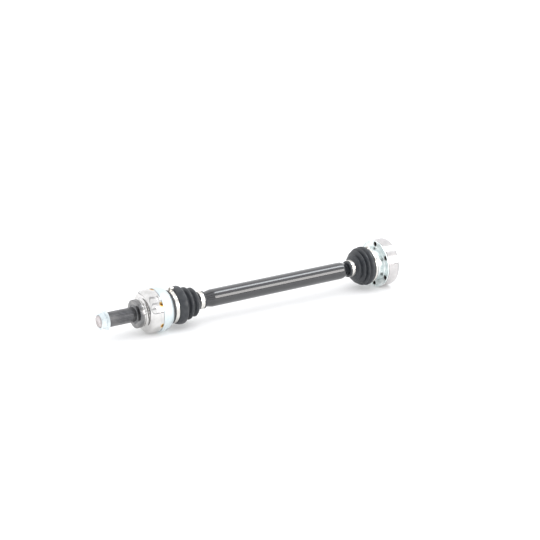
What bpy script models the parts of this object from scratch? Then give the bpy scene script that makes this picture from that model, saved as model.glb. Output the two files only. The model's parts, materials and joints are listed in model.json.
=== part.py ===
"""A car's CV axle: a tube bar with a ball joint at each end, lying along X.

The wheel's splined stub is at -X and the gearbox's six-bolt ring is at +X. The axle's line is Y = Z = 0,
and the origin is at mid-length. Sizes are in metres. An outline is a list of (x, radius) points that is
turned round the X axis. Each joint has six balls in a cage, and both joints bend about their own centre.
"""

import math

import bmesh
import bpy
from mathutils import Matrix, Vector

# Driving sizes
HALF_LENGTH = 0.346
TUBE_RADIUS = 0.018
BALLS = 6
BALL_STEP = 2 * math.pi / BALLS
SEGMENTS = 32
SMALL_SEGMENTS = 20
GAP = 0.0003
SPLINE_RADIUS = 0.012
SPLINE_BORE = SPLINE_RADIUS + GAP

# Wheel-side joint
OUTER_CENTRE = -0.220
OUTER_BALL_RADIUS = 0.008
OUTER_BALL_PITCH = 0.0285
OUTER_TRACK_RADIUS = 0.0094
OUTER_CAGE_RADIUS = 0.033
OUTER_CAGE_WALL = 0.0047
OUTER_CAGE_HALF_WIDTH = 0.014
OUTER_RACE_HALF_WIDTH = 0.012
BELL_RADIUS = 0.043
BELL_MOUTH = -0.206
BELL_FLOOR = -0.2435
STUB_THREAD_RADIUS = 0.012
STUB_SPLINE_ROOT = 0.0139
STUB_SPLINE_TIP = 0.0148
STUB_SPLINE_START = -0.3285
STUB_SPLINE_END = -0.269
STUB_TEETH = 33
COLLAR_FACE = -0.268
COLLAR_BACK = -0.2595
COLLAR_RADIUS = 0.0283
NUT_FRONT = -0.344
NUT_STEP = -0.3325
NUT_BACK = -0.329
NUT_CORNER_RADIUS = 0.0176
NUT_FLANGE_RADIUS = 0.020

# Can that closes the bell
CAN_LIP_START = -0.225
CAN_LIP_END = -0.221
CAN_RADIUS = 0.044
CAN_DOME_END = -0.198
CAN_DOME_RADIUS = 0.033
CAN_NECK_RADIUS = 0.0302
CAN_NECK_END = -0.187
CAN_SHEET = 0.0013

# Gearbox-side joint
INNER_CENTRE = 0.322
INNER_BALL_RADIUS = 0.0075
INNER_BALL_PITCH = 0.027
INNER_TRACK_RADIUS = 0.0086
INNER_CAGE_RADIUS = 0.031
INNER_CAGE_WALL = 0.0044
INNER_CAGE_HALF_WIDTH = 0.0108
INNER_RACE_HALF_WIDTH = 0.009
RING_RADIUS = 0.050
RING_FRONT = 0.311
RING_BACK = 0.336
RING_BORE = 0.0314
CAP_SEAT_RADIUS = 0.0369
CAP_SEAT_DEPTH = 0.0016
CAP_SHEET = 0.0009
CAP_WALL_RADIUS = 0.0359
BOLT_CIRCLE_RADIUS = 0.043
BOLT_HOLE_RADIUS = 0.0052
COVER_BACK = 0.3099
COVER_FACE = 0.3085
COVER_RIM_FRONT = 0.3073
COVER_NECK_RADIUS = 0.036
COVER_LIP_RADIUS = 0.0346
COVER_LIP = 0.2865
COVER_SHEET = 0.0014
GASKET_THICKNESS = 0.0005

# Boots and clamps
BOOT_WALL = 0.0022
BAND = 0.0011

FINISHES = {
    "bright_steel": ((0.62, 0.61, 0.60), 0.25, 1.0),
    "dark_steel": ((0.20, 0.20, 0.21), 0.45, 1.0),
    "bearing_steel": ((0.70, 0.70, 0.70), 0.12, 1.0),
    "zinc": ((0.74, 0.80, 0.83), 0.35, 1.0),
    "band_steel": ((0.72, 0.71, 0.68), 0.30, 1.0),
    "black_paint": ((0.012, 0.012, 0.013), 0.15, 0.0),
    "rubber": ((0.020, 0.020, 0.022), 0.50, 0.0),
    "fibre": ((0.30, 0.27, 0.22), 0.80, 0.0),
}


def clear_scene():
    for obj in list(bpy.data.objects):
        bpy.data.objects.remove(obj, do_unlink=True)


def add_material(obj, finish):
    """Gives the object its own Principled material."""
    colour, roughness, metallic = FINISHES[finish]
    material = bpy.data.materials.new(obj.name + "_" + finish)
    material.use_nodes = True
    shader = material.node_tree.nodes["Principled BSDF"]
    shader.inputs["Base Color"].default_value = (*colour, 1.0)
    shader.inputs["Roughness"].default_value = roughness
    shader.inputs["Metallic"].default_value = metallic
    obj.data.materials.append(material)


def add_joint_centre(name, x):
    empty = bpy.data.objects.new(name, None)
    empty.location = (x, 0, 0)
    empty.empty_display_size = 0.02
    bpy.context.scene.collection.objects.link(empty)
    return empty


def add_object(name, mesh_data, centre=None):
    """Makes an object from a bmesh in world places. A centre is an empty that becomes its parent."""
    bmesh.ops.recalc_face_normals(mesh_data, faces=mesh_data.faces)
    mesh = bpy.data.meshes.new(name)
    mesh_data.to_mesh(mesh)
    mesh_data.free()
    obj = bpy.data.objects.new(name, mesh)
    bpy.context.scene.collection.objects.link(obj)
    if centre is not None:
        mesh.transform(Matrix.Translation(-centre.location))
        obj.parent = centre
    return obj


def finish_node(obj, finish):
    """Shades a node smooth, except at edges over 35 degrees, and gives it its material."""
    obj.data.shade_smooth()
    obj.data.set_sharp_from_angle(angle=math.radians(35))
    add_material(obj, finish)
    return obj


def hide_cutter(obj):
    obj.hide_render = True
    obj.display_type = "WIRE"
    return obj


def add_boolean(obj, other, operation):
    modifier = obj.modifiers.new(other.name, "BOOLEAN")
    modifier.operation = operation
    modifier.solver = "EXACT"
    modifier.object = hide_cutter(other)


def ring_of_points(mesh_data, x, radius, segments):
    """One ring of vertices round X, or a single vertex where the radius is zero."""
    if radius == 0:
        return [mesh_data.verts.new((x, 0, 0))]
    step = 2 * math.pi / segments
    angles = [step * (index + 0.5) for index in range(segments)]
    return [mesh_data.verts.new((x, radius * math.cos(a), radius * math.sin(a))) for a in angles]


def bridge_rings(mesh_data, first, second):
    """Faces between two rings, of which one may be a single point on the axis."""
    count = max(len(first), len(second))
    for index in range(count):
        following = (index + 1) % count
        if len(first) == 1 and len(second) == 1:
            return
        if len(first) == 1:
            corners = [first[0], second[index], second[following]]
        elif len(second) == 1:
            corners = [first[index], first[following], second[0]]
        else:
            corners = [first[index], first[following], second[following], second[index]]
        mesh_data.faces.new(corners)


def turned_mesh(outline, segments=SEGMENTS):
    """Turns a closed outline of (x, radius) points round X."""
    mesh_data = bmesh.new()
    rings = [ring_of_points(mesh_data, x, radius, segments) for x, radius in outline]
    for index, ring in enumerate(rings):
        bridge_rings(mesh_data, ring, rings[(index + 1) % len(rings)])
    return mesh_data


def arc(centre_x, radius, start_x, end_x, steps):
    """Points on a circle about (centre_x, 0), from one x offset to another."""
    start = math.asin(start_x / radius)
    end = math.asin(end_x / radius)
    angles = [start + (end - start) * index / steps for index in range(steps + 1)]
    return [(centre_x + radius * math.sin(a), radius * math.cos(a)) for a in angles]


def dome(start, end, steps):
    """A quarter ellipse that leaves the first point along X and reaches the second at right angles to X."""
    (x0, r0), (x1, r1) = start, end
    angles = [math.pi / 2 * index / steps for index in range(steps + 1)]
    return [(x0 + (x1 - x0) * math.sin(a), r1 + (r0 - r1) * math.cos(a)) for a in angles]


def folds(ridges, valleys, steps):
    """A boot's outer line: half waves of a cosine that join each ridge to the next valley."""
    turns = [point for pair in zip(ridges, valleys) for point in pair]
    if len(ridges) > len(valleys):
        turns.append(ridges[-1])
    line = []
    for (x0, r0), (x1, r1) in zip(turns, turns[1:]):
        for index in range(steps):
            share = index / steps
            ease = (1 - math.cos(math.pi * share)) / 2
            line.append((x0 + (x1 - x0) * share, r0 + (r1 - r0) * ease))
    line.append(turns[-1])
    return line


def offset_line(line, distance):
    """The same line moved inwards, square to itself."""
    moved = []
    for index, (x, r) in enumerate(line):
        x0, r0 = line[max(index - 1, 0)]
        x1, r1 = line[min(index + 1, len(line) - 1)]
        length = math.hypot(x1 - x0, r1 - r0)
        moved.append((x + distance * (r1 - r0) / length, r - distance * (x1 - x0) / length))
    return moved


def radial(angle, radius):
    return Vector((0, radius * math.cos(angle), radius * math.sin(angle)))


def ball_angle(index):
    """The first ball is on +Y and the fourth is on -Y."""
    return BALL_STEP * index


def bolt_angle(index):
    return BALL_STEP * (index + 0.5)


def curved_tracks(name, centre_x, pitch, track_radius, half_sweep=math.radians(42), steps=8, sides=12):
    """Six cutters that follow a ball's path as it swings in its own plane about the joint's centre."""
    mesh_data = bmesh.new()
    for index in range(BALLS):
        outward = radial(ball_angle(index), 1.0)
        sideways = radial(ball_angle(index) + math.pi / 2, 1.0)
        rings = []
        for step in range(steps + 1):
            swing = half_sweep * (2 * step / steps - 1)
            away = Vector((math.sin(swing), 0, 0)) + outward * math.cos(swing)
            middle = Vector((centre_x, 0, 0)) + away * pitch
            ring = []
            for side in range(sides):
                turn = 2 * math.pi * side / sides
                offset = away * math.cos(turn) + sideways * math.sin(turn)
                ring.append(mesh_data.verts.new(middle + offset * track_radius))
            rings.append(ring)
        for first, second in zip(rings, rings[1:]):
            bridge_rings(mesh_data, first, second)
        mesh_data.faces.new(rings[0])
        mesh_data.faces.new(rings[-1])
    return add_object(name, mesh_data)


def straight_cutters(name, angles, pitch, radius, start_x, end_x, sides=12):
    """Round cutters along X, one at each angle."""
    mesh_data = bmesh.new()
    for angle in angles:
        middle = radial(angle, pitch)
        rings = []
        for x in (start_x, end_x):
            turns = [2 * math.pi * (side + 0.5) / sides for side in range(sides)]
            rings.append([mesh_data.verts.new(Vector((x, 0, 0)) + middle + radial(t, radius)) for t in turns])
        bridge_rings(mesh_data, *rings)
        mesh_data.faces.new(rings[0])
        mesh_data.faces.new(rings[1])
    return add_object(name, mesh_data)


def box_at(mesh_data, middle, size, angle):
    """A box whose third side points outwards at the angle round X."""
    turn = Matrix.Rotation(angle - math.pi / 2, 4, "X")
    place = Matrix.Translation(Vector(middle)) @ turn @ Matrix.Diagonal((*size, 1.0))
    bmesh.ops.create_cube(mesh_data, size=1.0, matrix=place)


def cage_windows(name, centre_x, pitch, half_width, side_width):
    mesh_data = bmesh.new()
    for index in range(BALLS):
        middle = Vector((centre_x, 0, 0)) + radial(ball_angle(index), pitch)
        box_at(mesh_data, middle, (2 * half_width, side_width, pitch), ball_angle(index))
    return add_object(name, mesh_data)


def make_cage(name, centre, radius, wall, half_width, pitch, ball_radius, window_side):
    x = centre.location.x
    outline = arc(x, radius, -half_width, half_width, 5)
    outline += arc(x, radius - wall, half_width, -half_width, 5)
    cage = add_object(name, turned_mesh(outline), centre)
    windows = cage_windows(name + "_windows", x, pitch, ball_radius + 1.4 * GAP, window_side)
    add_boolean(cage, windows, "DIFFERENCE")
    return finish_node(cage, "bearing_steel")


def make_race(name, centre, radius, half_width, pitch, track_radius):
    x = centre.location.x
    outline = arc(x, radius, -half_width, half_width, 4)
    outline += [(x + half_width, SPLINE_BORE), (x - half_width, SPLINE_BORE)]
    race = add_object(name, turned_mesh(outline))
    tracks = curved_tracks(name + "_tracks", x, pitch, track_radius)
    add_boolean(race, tracks, "DIFFERENCE")
    return finish_node(race, "bearing_steel")


def make_balls(prefix, centre, pitch, radius):
    for index in range(BALLS):
        mesh_data = bmesh.new()
        middle = centre.location + radial(ball_angle(index), pitch)
        place = Matrix.Translation(middle) @ Matrix.Rotation(ball_angle(index), 4, "X")
        bmesh.ops.create_uvsphere(mesh_data, u_segments=12, v_segments=7, radius=radius, matrix=place)
        finish_node(add_object(f"{prefix}_{index + 1}", mesh_data, centre), "bearing_steel")


def make_circlip(name, start_x, end_x):
    """A snap ring with a gap that points down."""
    outline = [(start_x, 0.0132), (end_x, 0.0132), (end_x, 0.0109), (start_x, 0.0109)]
    clip = add_object(name, turned_mesh(outline, SMALL_SEGMENTS))
    mesh_data = bmesh.new()
    box_at(mesh_data, ((start_x + end_x) / 2, 0, -0.012), (0.004, 0.003, 0.006), math.pi / 2)
    add_boolean(clip, add_object(name + "_gap", mesh_data), "DIFFERENCE")
    return finish_node(clip, "dark_steel")


def make_washer(name, race_side_x, shoulder_x):
    """A dished spring washer whose rim bears on the race."""
    thickness = 0.0010 if race_side_x > shoulder_x else -0.0010
    outline = [
        (shoulder_x, SPLINE_BORE),
        (race_side_x - thickness, 0.0168),
        (race_side_x, 0.0168),
        (shoulder_x + thickness, SPLINE_BORE),
    ]
    return finish_node(add_object(name, turned_mesh(outline, SMALL_SEGMENTS)), "dark_steel")


def make_clamp(name, start_x, end_x, inner_radius, ear_size, ear_angle, centre=None):
    """A band with the crimped ear that tightened it."""
    radius = inner_radius + BAND
    outline = [(start_x, radius), (end_x, radius), (end_x, inner_radius), (start_x, inner_radius)]
    band = add_object(name, turned_mesh(outline), centre)
    length, width, height = ear_size
    middle = Vector(((start_x + end_x) / 2, 0, 0)) + radial(ear_angle, inner_radius + BAND / 2 + height / 2)
    mesh_data = bmesh.new()
    box_at(mesh_data, middle, (width, length, height), ear_angle)
    add_boolean(band, add_object(name + "_ear", mesh_data), "UNION")
    return finish_node(band, "band_steel")


def make_boot(name, outer_line, inner_ends, centre):
    """A boot's wall. The line's first and last two points lie on its cuffs, whose bores are in inner_ends."""
    (start_bore, start_length), (end_bore, end_length) = inner_ends
    start_x = outer_line[0][0]
    end_x = outer_line[-1][0]
    lining = [
        point
        for point in offset_line(outer_line, BOOT_WALL)
        if start_x + start_length < point[0] < end_x - end_length
    ]
    flat_share = math.cos(math.pi / SMALL_SEGMENTS)
    start_bore /= flat_share
    end_bore /= flat_share
    bore = [(start_x, start_bore), (start_x + start_length, start_bore)] + lining
    bore += [(end_x - end_length, end_bore), (end_x, end_bore)]
    mesh_data = turned_mesh(outer_line + bore[::-1], SMALL_SEGMENTS)
    return finish_node(add_object(name, mesh_data, centre), "rubber")


def toothed_prism(name, start_x, end_x, root, tip, teeth):
    mesh_data = bmesh.new()
    rings = []
    for x in (start_x, end_x):
        ring = []
        for index in range(teeth):
            for share, radius in ((0.05, root), (0.35, tip), (0.65, tip), (0.95, root)):
                spot = radial(2 * math.pi * (index + share) / teeth, radius)
                ring.append(mesh_data.verts.new((x, spot.y, spot.z)))
        rings.append(ring)
    bridge_rings(mesh_data, *rings)
    mesh_data.faces.new(rings[0])
    mesh_data.faces.new(rings[1])
    return add_object(name, mesh_data)


def make_nut(centre):
    hexagon = [(NUT_FRONT, 0), (NUT_FRONT, NUT_CORNER_RADIUS), (NUT_BACK - 0.001, NUT_CORNER_RADIUS),
               (NUT_BACK - 0.001, 0)]
    nut = add_object("axle_nut", turned_mesh(hexagon, 6), centre)
    flange = [(NUT_STEP, 0), (NUT_STEP, 0.0185), (NUT_BACK - 0.0015, NUT_FLANGE_RADIUS),
              (NUT_BACK, NUT_FLANGE_RADIUS), (NUT_BACK, 0)]
    add_boolean(nut, add_object("axle_nut_flange", turned_mesh(flange)), "UNION")
    bore = straight_cutters("axle_nut_bore", [0], 0, STUB_THREAD_RADIUS + GAP, NUT_FRONT - 0.002,
                            NUT_BACK + 0.002, SMALL_SEGMENTS)
    add_boolean(nut, bore, "DIFFERENCE")
    return finish_node(nut, "zinc")


def make_outer_housing(centre):
    """The stub, collar, neck and bell are one forging."""
    cavity_radius = OUTER_CAGE_RADIUS + 1.3 * GAP
    outline = [
        (-HALF_LENGTH, 0),
        (-HALF_LENGTH, STUB_THREAD_RADIUS - 0.001),
        (-HALF_LENGTH + 0.001, STUB_THREAD_RADIUS),
        (STUB_SPLINE_START, STUB_THREAD_RADIUS),
        (STUB_SPLINE_START + 0.0007, STUB_SPLINE_ROOT - 0.0002),
        (STUB_SPLINE_END - 0.0015, STUB_SPLINE_ROOT - 0.0002),
        (COLLAR_FACE, 0.0165),
        (COLLAR_FACE, COLLAR_RADIUS - 0.0006),
        (COLLAR_FACE + 0.0006, COLLAR_RADIUS),
        (COLLAR_BACK - 0.0006, COLLAR_RADIUS),
        (COLLAR_BACK, COLLAR_RADIUS - 0.0006),
        (COLLAR_BACK, 0.0262),
        (-0.2575, 0.0262),
        (-0.2570, 0.0250),
        (-0.2555, 0.0250),
        (-0.2550, 0.0268),
        (-0.2530, 0.0272),
        (-0.2520, 0.0290),
    ]
    outline += [(x, r) for x, r in reversed(dome((-0.2415, BELL_RADIUS), (-0.2515, 0.0300), 4))]
    outline += [
        (CAN_LIP_START - GAP, BELL_RADIUS),
        (CAN_LIP_START - GAP, CAN_RADIUS - CAN_SHEET - 2 * GAP),
        (-0.2190, 0.0421),
        (-0.2120, 0.0412),
        (BELL_MOUTH, 0.0394),
        (BELL_MOUTH, 0.0314),
    ]
    outline += arc(OUTER_CENTRE, cavity_radius, BELL_MOUTH - 0.0008 - OUTER_CENTRE,
                   BELL_FLOOR - OUTER_CENTRE, 6)
    outline += [(BELL_FLOOR, 0)]
    housing = add_object("outer_housing", turned_mesh(outline), centre)
    teeth = toothed_prism("stub_teeth", STUB_SPLINE_START + 0.001, STUB_SPLINE_END, STUB_SPLINE_ROOT,
                          STUB_SPLINE_TIP, STUB_TEETH)
    add_boolean(housing, teeth, "UNION")
    tracks = curved_tracks("bell_tracks", OUTER_CENTRE, OUTER_BALL_PITCH, OUTER_TRACK_RADIUS)
    add_boolean(housing, tracks, "DIFFERENCE")
    return finish_node(housing, "bright_steel")


def make_outer_can(centre):
    inner = CAN_SHEET
    outline = [(CAN_LIP_START, CAN_RADIUS)]
    outline += dome((CAN_LIP_END, CAN_RADIUS), (CAN_DOME_END, CAN_DOME_RADIUS), 5)
    outline += [(CAN_DOME_END, CAN_NECK_RADIUS), (CAN_NECK_END, CAN_NECK_RADIUS)]
    outline += [(CAN_NECK_END, CAN_NECK_RADIUS - inner), (CAN_DOME_END - inner, CAN_NECK_RADIUS - inner)]
    lining = dome((CAN_LIP_END, CAN_RADIUS - inner), (CAN_DOME_END - inner, CAN_DOME_RADIUS - inner), 5)
    outline += lining[::-1]
    outline += [(CAN_LIP_START, CAN_RADIUS - inner)]
    return finish_node(add_object("outer_can", turned_mesh(outline), centre), "zinc")


def make_shaft():
    """The tube bar, with a splined end, a shoulder and a clip groove at each side."""
    groove = 0.0106
    outline = [
        (-0.2360, 0),
        (-0.2360, 0.0105),
        (-0.2352, 0.0115),
        (-0.2342, 0.0115),
        (-0.2342, groove),
        (-0.2326, groove),
        (-0.2326, SPLINE_RADIUS),
        (-0.2054, SPLINE_RADIUS),
        (-0.2054, 0.0134),
        (-0.2020, 0.0134),
        (-0.1990, 0.0115),
        (-0.1400, 0.0116),
        (-0.1290, 0.0145),
        (-0.1140, 0.0147),
    ]
    outline += [(-0.1080, 0.0157), (-0.1020, 0.0170), (-0.0975, 0.0178), (-0.0925, TUBE_RADIUS)]
    outline += [(0.2130, TUBE_RADIUS), (0.2190, 0.0176), (0.2255, 0.0158), (0.2310, 0.0138), (0.2350, 0.0130)]
    outline += [
        (0.2560, 0.0130),
        (0.2640, 0.0120),
        (0.3040, 0.0120),
        (0.3070, 0.0134),
        (0.3111, 0.0134),
        (0.3111, SPLINE_RADIUS),
        (0.3313, SPLINE_RADIUS),
        (0.3313, groove),
        (0.3329, groove),
        (0.3329, 0.0115),
        (0.3342, 0.0115),
        (0.3350, 0.0105),
        (0.3350, 0),
    ]
    return finish_node(add_object("shaft", turned_mesh(outline, SMALL_SEGMENTS)), "black_paint")


def make_inner_ring(centre):
    outline = [
        (RING_FRONT, RING_RADIUS - 0.0006),
        (RING_FRONT + 0.0006, RING_RADIUS),
        (RING_BACK - 0.0018, RING_RADIUS),
        (RING_BACK - 0.0005, RING_RADIUS - 0.0005),
        (RING_BACK, RING_RADIUS - 0.0018),
        (RING_BACK, CAP_SEAT_RADIUS),
        (RING_BACK - CAP_SEAT_DEPTH, CAP_SEAT_RADIUS),
        (RING_BACK - CAP_SEAT_DEPTH, RING_BORE),
        (RING_FRONT, RING_BORE),
    ]
    ring = add_object("inner_ring", turned_mesh(outline), centre)
    ball_angles = [ball_angle(index) for index in range(BALLS)]
    tracks = straight_cutters("ring_tracks", ball_angles, INNER_BALL_PITCH, INNER_TRACK_RADIUS,
                              RING_FRONT - 0.005, RING_BACK + 0.005)
    add_boolean(ring, tracks, "DIFFERENCE")
    add_bolt_holes(ring)
    return finish_node(ring, "bright_steel")


def add_bolt_holes(obj):
    angles = [bolt_angle(index) for index in range(BALLS)]
    holes = straight_cutters(obj.name + "_bolt_holes", angles, BOLT_CIRCLE_RADIUS, BOLT_HOLE_RADIUS,
                             COVER_LIP, RING_BACK + 0.005)
    add_boolean(obj, holes, "DIFFERENCE")


def make_inner_cover(centre):
    inner = COVER_SHEET
    outline = [
        (COVER_LIP, COVER_LIP_RADIUS),
        (0.2913, COVER_LIP_RADIUS),
        (0.2922, COVER_NECK_RADIUS),
        (0.3050, COVER_NECK_RADIUS),
        (0.3072, 0.0363),
        (COVER_FACE, 0.0372),
        (COVER_FACE, 0.0485),
        (COVER_RIM_FRONT, 0.0489),
        (COVER_RIM_FRONT, RING_RADIUS - 0.0006),
        (COVER_RIM_FRONT + 0.0006, RING_RADIUS),
        (COVER_BACK, RING_RADIUS),
        (COVER_BACK, COVER_NECK_RADIUS - inner),
        (0.2922, COVER_NECK_RADIUS - inner),
        (0.2913, COVER_LIP_RADIUS - inner),
        (COVER_LIP, COVER_LIP_RADIUS - inner),
    ]
    cover = add_object("inner_cover", turned_mesh(outline), centre)
    add_bolt_holes(cover)
    return finish_node(cover, "zinc")


def make_inner_gasket(centre):
    start = COVER_BACK + GAP
    end = start + GASKET_THICKNESS
    outline = [(start, 0.0495), (end, 0.0495), (end, CAP_SEAT_RADIUS), (start, CAP_SEAT_RADIUS)]
    gasket = add_object("inner_gasket", turned_mesh(outline, SMALL_SEGMENTS), centre)
    add_bolt_holes(gasket)
    return finish_node(gasket, "fibre")


def make_inner_cap(centre):
    """A pressed pan whose lip sits in the ring's back and whose dome leaves room for the shaft's end."""
    seat = RING_BACK - CAP_SEAT_DEPTH + GAP
    lip = CAP_SEAT_RADIUS - GAP
    outline = [
        (seat, lip),
        (seat + CAP_SHEET, lip),
        (seat + CAP_SHEET, CAP_WALL_RADIUS),
        (0.3395, CAP_WALL_RADIUS),
        (0.3425, 0.0345),
        (0.3445, 0.0310),
        (HALF_LENGTH, 0.0262),
        (HALF_LENGTH, 0),
        (HALF_LENGTH - CAP_SHEET, 0),
        (HALF_LENGTH - CAP_SHEET, 0.0260),
        (0.3437, 0.0305),
        (0.3418, 0.0338),
        (0.3392, CAP_WALL_RADIUS - CAP_SHEET),
        (seat, CAP_WALL_RADIUS - CAP_SHEET),
    ]
    return finish_node(add_object("inner_cap", turned_mesh(outline), centre), "zinc")


def make_outer_boot(centre):
    line = [(-0.1977, 0.0341), (-0.1929, 0.0341), (-0.1927, 0.0325), (-0.1847, 0.0325), (-0.1835, 0.0345)]
    line += [(-0.1790, 0.0376), (-0.1740, 0.0385)]
    ridges = [(-0.1700, 0.0385), (-0.1540, 0.0328), (-0.1395, 0.0294)]
    valleys = [(-0.1610, 0.0270), (-0.1470, 0.0240)]
    line += folds(ridges, valleys, 2)
    line += [(-0.1360, 0.0260), (-0.1320, 0.0200), (-0.1295, 0.0180), (-0.1277, 0.0172)]
    line += [(-0.1185, 0.0172), (-0.1183, 0.0178), (-0.1145, 0.0175)]
    return make_boot("outer_boot", line, ((CAN_NECK_RADIUS + GAP, 0.0140), (0.0150, 0.0170)), centre)


def make_inner_boot(centre):
    line = [(0.2350, 0.0165), (0.2386, 0.0170), (0.2388, 0.0170), (0.2472, 0.0171), (0.2482, 0.0190)]
    line += [(0.2500, 0.0250)]
    ridges = [(0.2522, 0.0280), (0.2603, 0.0352), (0.2682, 0.0397), (0.2778, 0.0413)]
    valleys = [(0.2564, 0.0256), (0.2644, 0.0315), (0.2722, 0.0360)]
    line += folds(ridges, valleys, 2)
    line += [(0.2820, 0.0405), (0.2843, 0.0390), (0.2850, 0.0374), (0.2904, 0.0374), (0.2906, 0.0380)]
    line += [(0.2911, 0.0380)]
    return make_boot("inner_boot", line, ((0.0134, 0.0140), (COVER_LIP_RADIUS + GAP, 0.0050)), centre)


def main():
    clear_scene()
    outer_centre = add_joint_centre("outer_joint_centre", OUTER_CENTRE)
    inner_centre = add_joint_centre("inner_joint_centre", INNER_CENTRE)

    make_shaft()
    make_nut(outer_centre)
    make_outer_housing(outer_centre)
    make_outer_can(outer_centre)
    make_outer_boot(outer_centre)
    make_clamp("outer_large_clamp", -0.1924, -0.1850, 0.0329, (0.010, 0.0054, 0.0094), math.radians(98),
               outer_centre)
    make_clamp("outer_small_clamp", -0.1272, -0.1188, 0.0175, (0.007, 0.005, 0.0026), math.radians(-20))
    make_race("outer_race", outer_centre, OUTER_CAGE_RADIUS - OUTER_CAGE_WALL - 1.3 * GAP,
              OUTER_RACE_HALF_WIDTH, OUTER_BALL_PITCH, OUTER_TRACK_RADIUS)
    make_cage("outer_cage", outer_centre, OUTER_CAGE_RADIUS, OUTER_CAGE_WALL, OUTER_CAGE_HALF_WIDTH,
              OUTER_BALL_PITCH, OUTER_BALL_RADIUS, 0.020)
    make_balls("outer_ball", outer_centre, OUTER_BALL_PITCH, OUTER_BALL_RADIUS)
    make_circlip("outer_circlip", -0.2340, -0.2328)
    make_washer("outer_washer", -0.2077, -0.2057)

    make_inner_ring(inner_centre)
    make_inner_cover(inner_centre)
    make_inner_gasket(inner_centre)
    make_inner_cap(inner_centre)
    make_inner_boot(inner_centre)
    make_clamp("inner_large_clamp", 0.2858, 0.2902, 0.0377, (0.009, 0.004, 0.0036), math.radians(92),
               inner_centre)
    make_clamp("inner_small_clamp", 0.2392, 0.2468, 0.0174, (0.007, 0.005, 0.0026), math.radians(-20))
    make_race("inner_race", inner_centre, INNER_CAGE_RADIUS - INNER_CAGE_WALL - 1.3 * GAP,
              INNER_RACE_HALF_WIDTH, INNER_BALL_PITCH, INNER_TRACK_RADIUS)
    make_cage("inner_cage", inner_centre, INNER_CAGE_RADIUS, INNER_CAGE_WALL, INNER_CAGE_HALF_WIDTH,
              INNER_BALL_PITCH, INNER_BALL_RADIUS, 0.019)
    make_balls("inner_ball", inner_centre, INNER_BALL_PITCH, INNER_BALL_RADIUS)
    make_circlip("inner_circlip", 0.3315, 0.3327)
    make_washer("inner_washer", 0.3127, 0.3114)


main()
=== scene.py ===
"""The looks of a car's CV axle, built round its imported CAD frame.

The axle lies along X with its splined stub at -X. Every outline below is a list of (x, radius) points in
millimetres, in the CAD's own frame. None as a radius means that the piece's own radius function is used.
"""

import json
import math

import bmesh
import bpy
import numpy as np
from mathutils import Matrix, Vector


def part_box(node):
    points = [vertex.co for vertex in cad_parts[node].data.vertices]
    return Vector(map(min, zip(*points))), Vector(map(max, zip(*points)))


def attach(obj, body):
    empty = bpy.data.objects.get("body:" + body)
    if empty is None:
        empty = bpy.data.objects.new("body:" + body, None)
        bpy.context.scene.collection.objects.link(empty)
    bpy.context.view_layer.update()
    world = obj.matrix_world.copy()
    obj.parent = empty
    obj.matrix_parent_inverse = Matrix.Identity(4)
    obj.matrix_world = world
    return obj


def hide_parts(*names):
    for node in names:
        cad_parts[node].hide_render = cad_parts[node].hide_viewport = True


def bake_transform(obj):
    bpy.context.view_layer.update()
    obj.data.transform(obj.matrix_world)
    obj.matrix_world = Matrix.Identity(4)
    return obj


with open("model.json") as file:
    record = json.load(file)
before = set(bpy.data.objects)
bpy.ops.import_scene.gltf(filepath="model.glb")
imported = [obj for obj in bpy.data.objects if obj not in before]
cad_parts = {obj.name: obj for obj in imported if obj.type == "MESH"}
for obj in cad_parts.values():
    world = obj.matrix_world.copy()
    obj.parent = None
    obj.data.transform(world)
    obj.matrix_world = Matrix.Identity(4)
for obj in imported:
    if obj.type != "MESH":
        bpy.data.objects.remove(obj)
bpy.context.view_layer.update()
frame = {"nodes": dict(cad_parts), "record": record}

MM = 0.001
SIXTH = math.pi / 3
BODY_OF = {node: body for body, nodes in frame["record"]["behaviour"]["bodies"].items() for node in nodes}
TURN_STEPS = 144
SMOOTH_ANGLE = math.radians(32)

# Places shared by several pieces, in millimetres
OUTER_CENTRE = -220.0
INNER_CENTRE = 322.0
BALLS = 6
STUB_TEETH = 33
STUB_STEPS = STUB_TEETH * 6
BOLT_CIRCLE = 43.0
BOLT_HOLE = 5.2
RING_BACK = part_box("inner_ring")[1].x / MM
COVER_FACE = 308.5
BOOT_WALL = 1.2

# The camera: lens in millimetres, place in metres, and its turn and tilt in degrees
LENS = 100.87
SENSOR_WIDTH = 36.0
CAMERA_PLACE = (-1.5313, -2.4489, 1.0152)
CAMERA_TURN = 32.751
CAMERA_DOWN = 18.637

# The studio: tones and strengths of the room, and the floor's half side in metres
FLOOR_HALF = 16.0
FLOOR_GLOW = 0.20
FLOOR_TONES = ((0.80, 0.80, 0.80), (0.82, 0.82, 0.82))
ROOM_TONE = (1.29, 1.30, 1.32)
GAP_TONE = (0.62, 0.625, 0.64)
GAPS = ((27, 4.0), (52, 3.0), (89, 5.5))
HORIZON_TONE = (0.30, 0.31, 0.33)
HORIZON_TOP = 2.6
CEILING_ENERGY = 1.0


# ---------------------------------------------------------------- mesh helpers


def make_object(name, verts, faces, smooth=SMOOTH_ANGLE):
    """A mesh object from points in millimetres, with its faces turned outwards."""
    mesh = bpy.data.meshes.new(name)
    mesh.from_pydata([(x * MM, y * MM, z * MM) for x, y, z in verts], [], faces)
    data = bmesh.new()
    data.from_mesh(mesh)
    bmesh.ops.recalc_face_normals(data, faces=data.faces)
    data.to_mesh(mesh)
    data.free()
    mesh.shade_smooth()
    mesh.set_sharp_from_angle(angle=smooth)
    obj = bpy.data.objects.new(name, mesh)
    bpy.context.scene.collection.objects.link(obj)
    return obj


def around(radius, angle, x=0.0):
    return (x, radius * math.cos(angle), radius * math.sin(angle))


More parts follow.
